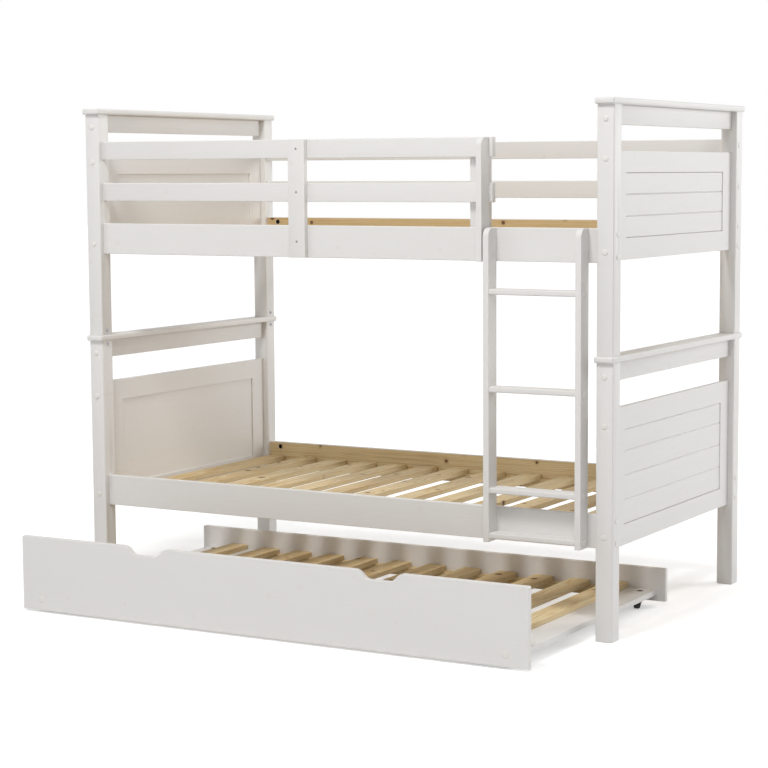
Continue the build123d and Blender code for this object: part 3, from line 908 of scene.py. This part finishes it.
def copied(name, marks, template, slot, seed, size=(1.0, 1.0, 1.0), turn=0.0, play=0.0):
    """Copies of a template on marks, each a place and the way that it faces, as one plain piece."""
    mesh = bpy.data.meshes.new(name)
    mesh.from_pydata([place for place, facing in marks], [], [])
    add_layer(mesh, "facing", [facing for place, facing in marks])
    piece = new_piece(name, mesh, slot)
    modifier = piece.modifiers.new(name, "NODES")
    modifier.node_group, identifiers = copies_tree()
    values = {
        "Piece": template, "Size": size, "Turn": turn, "Play": play, "Seed": seed,
        "Material": finish_of(slot),
    }
    for label, value in values.items():
        modifier[identifiers[label]] = value
    settle(piece)
    if not piece.data.polygons:
        raise RuntimeError(f"{name} came out empty")
    remove(template)
    return piece


def fasteners(name, marks, template, slot, radius, height=None, turn=0.0):
    """Copies of a fastener's head on marks, of a radius and a height, which is the radius if not given."""
    size = (radius, radius, height or radius)
    piece = copied(name, marks, template, slot, settings().hardware.seed, size, turn)
    smooth_by_angle(piece.data, FASTENER_ANGLE)
    return piece


def head_marks(node, head_height):
    """Where each fastener's head meets the wood, and the way that it faces."""
    marks = []
    for solid in solids_of(node):
        low, high = solid.min(0), solid.max(0)
        axis = int(np.argmax(high - low))
        reach = []
        for end in (low[axis], high[axis]):
            ring = solid[np.abs(solid[:, axis] - end) < SAME_PLACE]
            reach.append(np.linalg.norm(ring - ring.mean(0), axis=1).max())
        outward = 1 if reach[1] > reach[0] else -1
        place = (low + high) / 2
        place[axis] = (high[axis] if outward > 0 else low[axis]) - outward * head_height
        facing = np.zeros(3)
        facing[axis] = outward
        marks.append((place.tolist(), facing.tolist()))
    return marks


# Templates of what repeats

def turned_template(name, profile, slot, sides):
    bm = bmesh.new()
    lathe(bm, profile, sides)
    return filled(name, bm, slot)


def cap_template():
    """A low domed cap with a thin skirt, one unit in radius and in height."""
    skirt = [(1.0, 0.20), (0.97, 0.30), (0.90, 0.33)]
    dome = [(0.86, 0.58), (0.76, 0.80), (0.60, 0.92), (0.36, 0.98)]
    profile = [(0, -0.02), (1.0, -0.02), *skirt, *dome, (0, 1.0)]
    return turned_template("cap_template", profile, "fastener_caps", sides=32)


def screw_template():
    """A countersunk screw head with a square recess, one unit in radius."""
    head = [(0, -0.5), (0.86, -0.5), (1.0, -0.03), (0.94, 0.05)]
    recess = [(0.52, 0.07, 4), (0.38, -0.34, 4), (0, -0.42)]
    return turned_template("screw_template", head + recess, "zinc_steel", sides=16)


def lock_template():
    """The low round head of a locking screw with a hexagonal recess, in metres."""
    head = [(0, -0.0005), (0.006, -0.0005), (0.006, 0.0022), (0.0052, 0.003)]
    recess = [(0.0030, 0.003, 6), (0.0028, 0.0012, 6), (0, 0.0008)]
    return turned_template("lock_template", head + recess, "zinc_steel", sides=24)


def nut_template():
    """A barrel nut's end: a chamfered disc with a slot across it, one unit in radius."""
    rim, half_slot = 0.96, 0.16
    slot_floor, chamfer_top, inset, slot_shift = -0.42, -0.06, 0.94, 0.012
    sunk = 0.01
    bm = bmesh.new()
    lathe(bm, cylinder(1.0, -0.6, slot_floor), sides=24)
    start = math.degrees(math.asin(half_slot / rim))
    for side, shift in ((0, slot_shift), (180, -slot_shift)):
        outline = arc((0, 0), rim, side + start, side + 180 - start, steps=14)
        plank(bm, outline, "Z", slot_floor - sunk, chamfer_top)
        plank(bm, [(x * inset, y * inset + shift) for x, y in outline], "Z", chamfer_top - sunk, 0.0)
    return filled("nut_template", bm, "zinc_steel")


def slat_template(width, length, thickness):
    """One slat along Y with rounded corners and eased edges, its middle at the origin."""
    x, y, z = width / 2, length / 2, thickness / 2
    bm = bmesh.new()
    plank(bm, rounded_rectangle((-x, -y), (x, y), SLAT_CORNER, steps=3), "Z", -z, z)
    slat = filled("slat_template", bm, "bare_pine")
    ease_edges(slat, SLAT_EDGE)
    add_layer(slat.data, "grain", vertex_places(slat.data)[:, (1, 0, 2)])
    return slat


# Operators, one for each piece or group of like pieces

class BUNKBED_OT_stage(Operator):
    """Set up the camera, the pale floor and the soft light"""

    bl_idname = "bunk_bed.stage"
    bl_label = "Stage"

    def execute(self, context):
        stage = settings().stage
        context.scene.view_settings.view_transform = "Standard"
        self.add_camera(context.scene, stage)
        self.add_floor(stage)
        self.add_world(context.scene, stage)
        for name, (place, size) in LAMPS.items():
            self.add_lamp(name, place, size, getattr(stage, name))
        return {"FINISHED"}

    def add_camera(self, scene, stage):
        data = bpy.data.cameras.new("camera")
        data.lens = stage.lens
        data.sensor_width = 36.0
        data.shift_x, data.shift_y = CAMERA_SHIFT
        data.clip_end = 100.0
        turns = ((CAMERA_YAW, "Z"), (CAMERA_TILT, "X"), (CAMERA_ROLL, "Z"))
        yaw, tilt, roll = (Matrix.Rotation(math.radians(angle), 4, axis) for angle, axis in turns)
        scene.camera = new_object("camera", data)
        scene.camera.matrix_world = Matrix.Translation(CAMERA_PLACE) @ yaw @ tilt @ roll

    def add_floor(self, stage):
        mesh = bpy.data.meshes.new("floor")
        sides = (-FLOOR_HALF, FLOOR_HALF)
        mesh.from_pydata([(x, y, 0.0) for x in sides for y in sides], [], [(0, 2, 3, 1)])
        floor = Finish("floor")
        matt = floor.node("ShaderNodeBsdfDiffuse", {"Color": stage.floor})
        glow = floor.node("ShaderNodeEmission", {"Color": WHITE, "Strength": stage.glow})
        paler = floor.node("ShaderNodeAddShader", (matt, glow))
        distance = floor.vector("LENGTH", floor.own_place(), result="Value")
        # Close round the bed the camera sees less glow: a painted shade on the floor round the bed.
        glow_past_painted_shade = floor.clamped((distance - GLOW_START) / GLOW_RUN) * (1 - SHADED_NEAR_GLOW) + SHADED_NEAR_GLOW
        surface = floor.node("ShaderNodeMixShader", (self.seen(floor) * glow_past_painted_shade, matt, paler))
        floor.node("ShaderNodeOutputMaterial", {"Surface": surface})
        mesh.materials.append(floor.material)
        new_object("floor", mesh)

    def add_world(self, scene, stage):
        scene.world = bpy.data.worlds.new("studio")
        scene.world.use_nodes = True
        graph = Graph(scene.world.node_tree)
        strength = self.seen(graph) * (1.0 - stage.sky) + stage.sky
        sky = graph.node("ShaderNodeBackground", {"Color": WHITE, "Strength": strength})
        graph.node("ShaderNodeOutputWorld", {"Surface": sky})

    def seen(self, graph):
        """1 for rays that the camera, a gloss or a glass sees, and 0 for those that only light the bed."""
        path = graph.node("ShaderNodeLightPath", result="Is Camera Ray")
        return graph.clamped(path + path.other("Is Glossy Ray") + path.other("Is Transmission Ray"))

    def add_lamp(self, name, place, size, power):
        data = bpy.data.lights.new(name, "AREA")
        data.shape = "DISK"
        data.size = size
        data.energy = power
        lamp = new_object(name, data)
        lamp.location = place
        lamp.rotation_mode = "QUATERNION"
        lamp.rotation_quaternion = (Vector(LAMP_TARGET) - Vector(place)).to_track_quat("-Z", "Y")


class BUNKBED_OT_posts(Operator):
    """Paint the eight posts and the four cap boards across the ends"""

    bl_idname = "bunk_bed.posts"
    bl_label = "Posts and Cap Boards"

    def execute(self, context):
        for bed in BEDS:
            for x in X_SIDES:
                for y in Y_SIDES:
                    eased_board(f"{bed}_post_{y}_{x}")
                eased_board(f"{bed}_cap_{x}")
        return {"FINISHED"}


class BUNKBED_OT_end_panels(Operator):
    """Paint the top rails and the framed, grooved panels of both ends"""

    bl_idname = "bunk_bed.end_panels"
    bl_label = "End Panels"

    def execute(self, context):
        for bed in BEDS:
            for x in X_SIDES:
                eased_board(f"{bed}_top_rail_{x}")
                self.add_frame(f"{bed}_panel_frame_{x}", f"{bed}_panel_{x}")
                self.add_panel(f"{bed}_panel_{x}")
        return {"FINISHED"}

    def add_frame(self, node, panel):
        """Draw a panel's frame as the paint leaves it, with no joint to see between its members."""
        faces = [corner.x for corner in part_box(node)]
        bm = bmesh.new()
        rings = []
        for low, high in (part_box(node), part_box(panel)):
            corners = ((low.y, low.z), (high.y, low.z), (high.y, high.z), (low.y, high.z))
            for x in faces:
                rings.append([bm.verts.new((x, y, z)) for y, z in corners])
        for first, second in ((0, 1), (2, 3), (0, 2), (1, 3)):
            for i in range(4):
                j = (i + 1) % 4
                bm.faces.new((rings[first][i], rings[first][j], rings[second][j], rings[second][i]))
        finished_boards(node, bm, "painted_wood", settings().paint.edge)

    def add_panel(self, node):
        """Draw a panel's boards one by one, flush inside and grooved outside."""
        low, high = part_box(node)
        outward = 1 if low.x > 0 else -1
        inner, outer = (low.x, high.x)[::outward]
        shoulder = outer - outward * PANEL_GROOVE
        places = vertex_places(frame["nodes"][node].data)
        levels = sorted({round(float(z), 4) for x, y, z in places if abs(x - inner) < SAME_PLACE})
        boards = [
            [(inner, bottom), (shoulder, bottom), (outer, bottom + PANEL_GROOVE),
             (outer, top - PANEL_GROOVE), (shoulder, top), (inner, top)]
            for bottom, top in zip(levels, levels[1:])
        ]
        redrawn(node, boards, "Y", PANEL_EDGE)


class BUNKBED_OT_side_rails(Operator):
    """Paint the side rails, which stay bare pine on the sleeper's side, and add their ledgers"""

    bl_idname = "bunk_bed.side_rails"
    bl_label = "Side Rails"

    def execute(self, context):
        for bed in BEDS:
            for y, inward in zip(Y_SIDES, (1, -1)):
                self.add_rail(f"{bed}_side_rail_{y}", inward)
        eased_board("slat_ledgers", "bare_pine")
        return {"FINISHED"}

    def add_rail(self, node, inward):
        low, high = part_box(node)
        face = high.y if inward > 0 else low.y
        span = sorted((-inward * POCKET_DEPTH, inward * CUTTER_OVERRUN))
        pits = []
        for nut_low, nut_high in boxes_of("barrel_nuts"):
            x, y, z = (nut_low + nut_high) / 2
            if low.y < y < high.y and low.z < z < high.z:
                pits.append(((x - math.copysign(NUT_SHIFT, x), face, z), "Y", POCKET_RADIUS, span))
        section = rounded_rectangle((low.y, low.z), (high.y, high.z), EDGE_CHAMFER, steps=1)
        rail = redrawn(node, [section], "X", settings().paint.edge, pits)
        rail.data.materials.append(finish_of("bare_pine"))
        for polygon in rail.data.polygons:
            if polygon.normal.y * inward > ALONG and polygon.material_index == 0:
                polygon.material_index = 2


class BUNKBED_OT_guard_rails(Operator):
    """Paint the guard rails and the three uprights that hold them"""

    bl_idname = "bunk_bed.guard_rails"
    bl_label = "Guard Rails"

    def execute(self, context):
        for node in ("guard_rails_front", "guard_rails_back", "guard_plate", "guard_batten"):
            eased_board(node)
        outline = rounded_upright("guard_end_board")
        redrawn("guard_end_board", [outline], "X", settings().paint.redrawn_edge)
        return {"FINISHED"}


class BUNKBED_OT_ladder(Operator):
    """Paint the ladder's two stiles and four rungs"""

    bl_idname = "bunk_bed.ladder"
    bl_label = "Ladder"

    def execute(self, context):
        edge = settings().paint.redrawn_edge
        low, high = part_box("ladder_stiles")
        inner_low, inner_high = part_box("ladder_rungs")
        spans = [(low.x, inner_low.x), (inner_high.x, high.x)]
        redrawn("ladder_stiles", [rounded_upright("ladder_stiles")], "X", edge, spans=spans)
        rungs = []
        for low, high in boxes_of("ladder_rungs"):
            nose = arc((low.y + RUNG_EDGE, high.z - RUNG_EDGE), RUNG_EDGE, 90, 180, steps=5)
            nose += arc((low.y + RUNG_EDGE, low.z + RUNG_EDGE), RUNG_EDGE, 180, 270, steps=5)
            rungs.append([(high.y, high.z), *nose, (high.y, low.z)])
        redrawn("ladder_rungs", rungs, "X", edge / 2)
        return {"FINISHED"}


class BUNKBED_OT_slats(Operator):
    """Lay the slats of both beds and of the trundle, each a hair out of line"""

    bl_idname = "bunk_bed.slats"
    bl_label = "Slats"

    def execute(self, context):
        for node in SLATS:
            boxes = boxes_of(node)
            marks = [((low + high) / 2, UP) for low, high in boxes]
            low, high = boxes[0]
            template = slat_template(*(high - low))
            seed = zlib.crc32(node.encode()) % 1000
            slats = copied(f"finished_{node}", marks, template, "bare_pine", seed, play=SLAT_PLAY)
            stand_for(slats, node)
        return {"FINISHED"}


class BUNKBED_OT_trundle_boards(Operator):
    """Paint the trundle's front with its two hand cut-outs, its back and its castor boards"""

    bl_idname = "bunk_bed.trundle_boards"
    bl_label = "Trundle Boards"

    def execute(self, context):
        edge = settings().paint.redrawn_edge
        redrawn("trundle_front", [self.front_outline(*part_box("trundle_front"))], "Y", edge)
        low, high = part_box("trundle_back")
        outline = rounded_rectangle((low.x, low.z), (high.x, high.z), BACK_CORNER, steps=6)
        redrawn("trundle_back", [outline], "Y", edge)
        for x in X_SIDES:
            self.add_castor_board(f"castor_board_{x}")
        eased_board("trundle_battens", "bare_pine")
        return {"FINISHED"}

    def front_outline(self, low, high):
        corner = high.z - FRONT_CORNER
        outline = [(high.x, low.z), *arc((high.x - FRONT_CORNER, corner), FRONT_CORNER, 0, 90)]
        for x in (CUT_OUT_X, -CUT_OUT_X):
            floor = high.z - CUT_OUT_DEPTH
            right = s_curve((x + CUT_OUT_TOP / 2, high.z), (x + CUT_OUT_BOTTOM / 2, floor))
            left = s_curve((x - CUT_OUT_TOP / 2, high.z), (x - CUT_OUT_BOTTOM / 2, floor))
            outline += right + left[::-1]
        return outline + arc((low.x + FRONT_CORNER, corner), FRONT_CORNER, 90, 180) + [(low.x, low.z)]

    def add_castor_board(self, node):
        low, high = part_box(node)
        outline = [(low.x, low.y), (high.x, low.y), (high.x, high.y), (low.x, high.y)]
        stems = [joint["pos_m"] for joint in frame["joints"] if joint["name"].startswith("swivel")]
        tops = [(x, y, high.z) for x, y, z in stems if low.x < x < high.x]
        pits = [(top, "Z", COUNTERBORE_RADIUS, (-COUNTERBORE_DEPTH, CUTTER_OVERRUN)) for top in tops]
        pits += [(top, "Z", STEM_HOLE_RADIUS, (-STEM_HOLE_DEPTH, 0.0)) for top in tops]
        redrawn(node, [outline], "Z", settings().paint.edge, pits)


class BUNKBED_OT_screw_caps(Operator):
    """Cap every bolt and screw in the painted boards, but leave the guard plate's screws bare"""

    bl_idname = "bunk_bed.screw_caps"
    bl_label = "Screw Caps"

    def execute(self, context):
        hardware = settings().hardware
        low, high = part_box("guard_plate")
        proud = (hardware.cap_radius, hardware.cap_height)
        flat = (hardware.wide_cap_radius, HEAD_HEIGHT)
        for node in ("end_screws", "rail_bolts", "guard_and_ladder_screws", "trundle_screws"):
            size = flat if node == "trundle_screws" else proud
            marks = head_marks(node, HEAD_HEIGHT)
            bare = [mark for mark in marks if low.x < mark[0][0] < high.x]
            capped = [mark for mark in marks if mark not in bare]
            caps = fasteners(f"caps_{node}", capped, cap_template(), "fastener_caps", *size)
            stand_for(caps, node)
            if bare:
                radius = hardware.plate_screw_radius
                screws = fasteners(
                    "screws_guard_plate", bare, screw_template(), "nut_steel", radius, turn=SCREW_TURN
                )
                ride_with(screws, node)
        return {"FINISHED"}


class BUNKBED_OT_slat_screws(Operator):
    """Drive a countersunk screw into both ends of every slat"""

    bl_idname = "bunk_bed.slat_screws"
    bl_label = "Slat Screws"

    def execute(self, context):
        radius = settings().hardware.screw_radius
        for node in SLATS:
            marks = []
            for low, high in boxes_of(node):
                for y in (low.y + SLAT_SCREW_INSET, high.y - SLAT_SCREW_INSET):
                    marks.append((((low.x + high.x) / 2, y, high.z), UP))
            name = f"screws_{node}"
            screws = fasteners(name, marks, screw_template(), "zinc_steel", radius, turn=SCREW_TURN)
            ride_with(screws, node)
        return {"FINISHED"}


class BUNKBED_OT_steel_fixings(Operator):
    """Fit the slotted barrel nuts, the locking screws and the joining dowels"""

    bl_idname = "bunk_bed.steel_fixings"
    bl_label = "Steel Fixings"

    def execute(self, context):
        middle = sum(corner.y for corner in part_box("lower_cap_left")) / 2
        marks = []
        for low, high in boxes_of("barrel_nuts"):
            x, y, z = (low + high) / 2
            face, facing = (high.y, 1.0) if y < middle else (low.y, -1.0)
            marks.append(((x, face, z), (0.0, facing, 0.0)))
        nuts = fasteners("steel_barrel_nuts", marks, nut_template(), "nut_steel", NUT_RADIUS, turn=NUT_TURN)
        stand_for(nuts, "barrel_nuts")
        marks = head_marks("lock_screws", LOCK_HEAD_HEIGHT)
        locks = fasteners("steel_lock_screws", marks, lock_template(), "zinc_steel", 1.0, turn=LOCK_TURN)
        stand_for(locks, "lock_screws")
        dowels = frame["nodes"]["joining_dowels"]
        dowels.data.materials.clear()
        dowels.data.materials.append(finish_of("zinc_steel"))
        return {"FINISHED"}


class BUNKBED_OT_castors(Operator):
    """Build the four black swivel castors, their forks and their wheels"""

    bl_idname = "bunk_bed.castors"
    bl_label = "Castors"

    def execute(self, context):
        places = {joint["name"]: joint.get("pos_m") for joint in frame["joints"]}
        for castor in CASTORS:
            axle = places[f"wheel_spin_{castor}"]
            self.add_fork(f"castor_fork_{castor}", places[f"swivel_{castor}"], axle)
            self.add_wheel(f"castor_wheel_{castor}", axle)
        return {"FINISHED"}

    def add_fork(self, node, stem, axle):
        x, y, _ = stem
        board_low, board_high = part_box("castor_board_left")
        plate = board_low.z - PLATE_GAP
        clip = board_high.z - CLIP_DEPTH
        profile = [(radius, plate + height) for radius, height in FORK_CUP]
        profile += [(radius, clip + height) for radius, height in STEM_CLIP]
        root = plate - ARM_DROP
        arm = [(y - ARM_FRONT, root + ARM_HALF), (y - ARM_BACK, root + ARM_HALF)]
        arm += arc(axle[1:], ARM_EYE, 150, 330, steps=10)
        arm.append((y - ARM_FRONT, root - ARM_HALF))
        bm = bmesh.new()
        lathe(bm, profile, sides=28, centre=(x, y, 0))
        for side in (-1, 1):
            outer = x + side * ARM_OUTER
            plank(bm, arm, "X", *sorted((x + side * ARM_INNER, outer)))
            rivet = [(radius, side * height) for radius, height in RIVET]
            lathe(bm, rivet, sides=16, centre=(outer, *axle[1:]), axis="X")
        lathe(bm, cylinder(AXLE_RADIUS, -ARM_INNER, ARM_INNER), sides=16, centre=axle, axis="X")
        fork = filled(f"finished_{node}", bm, "castor_plastic")
        smooth_by_angle(fork.data, CASTOR_ANGLE)
        stand_for(fork, node)

    def add_wheel(self, node, axle):
        bm = bmesh.new()
        profile = WHEEL_SIDE + [(radius, -across) for radius, across in reversed(WHEEL_SIDE)]
        lathe(bm, profile, sides=40, centre=axle, axis="X")
        wheel = filled(f"finished_{node}", bm, "castor_plastic")
        wheel.data.materials.append(finish_of("wheel_tread"))
        for face in wheel.data.polygons:
            _, y, z = face.center - Vector(axle)
            if math.hypot(y, z) > HUB_RADIUS:
                face.material_index = 1
        smooth_by_angle(wheel.data, CASTOR_ANGLE)
        stand_for(wheel, node)


OPERATORS = (
    BUNKBED_OT_stage,
    BUNKBED_OT_posts,
    BUNKBED_OT_end_panels,
    BUNKBED_OT_side_rails,
    BUNKBED_OT_guard_rails,
    BUNKBED_OT_ladder,
    BUNKBED_OT_slats,
    BUNKBED_OT_trundle_boards,
    BUNKBED_OT_screw_caps,
    BUNKBED_OT_slat_screws,
    BUNKBED_OT_steel_fixings,
    BUNKBED_OT_castors,
)


class BUNKBED_PT_pieces(Panel):
    """The bunk bed's pieces and the settings of its finishes"""

    bl_idname = "BUNKBED_PT_pieces"
    bl_label = "Bunk Bed"
    bl_space_type = "VIEW_3D"
    bl_region_type = "UI"
    bl_category = "Bunk Bed"

    def draw(self, context):
        for operator in OPERATORS:
            self.layout.operator(operator.bl_idname)
        for name in ("paint", "pine", "hardware", "stage"):
            group = getattr(context.scene.bunk_bed, name)
            box = self.layout.box()
            box.label(text=name.title())
            for setting in group.bl_rna.properties:
                if setting.identifier not in ("rna_type", "name"):
                    box.prop(group, setting.identifier)


GROUPS = (PaintSettings, PineSettings, HardwareSettings, StageSettings, BunkBedSettings)
CLASSES = (*GROUPS, *OPERATORS, BUNKBED_PT_pieces)


def register():
    for cls in CLASSES:
        bpy.utils.register_class(cls)
    bpy.types.Scene.bunk_bed = PointerProperty(type=BunkBedSettings)


def unregister():
    del bpy.types.Scene.bunk_bed
    for cls in reversed(CLASSES):
        bpy.utils.unregister_class(cls)


def main():
    register()
    for operator in OPERATORS:
        group, name = operator.bl_idname.split(".")
        getattr(getattr(bpy.ops, group), name)()


if __name__ == "__main__":
    main()
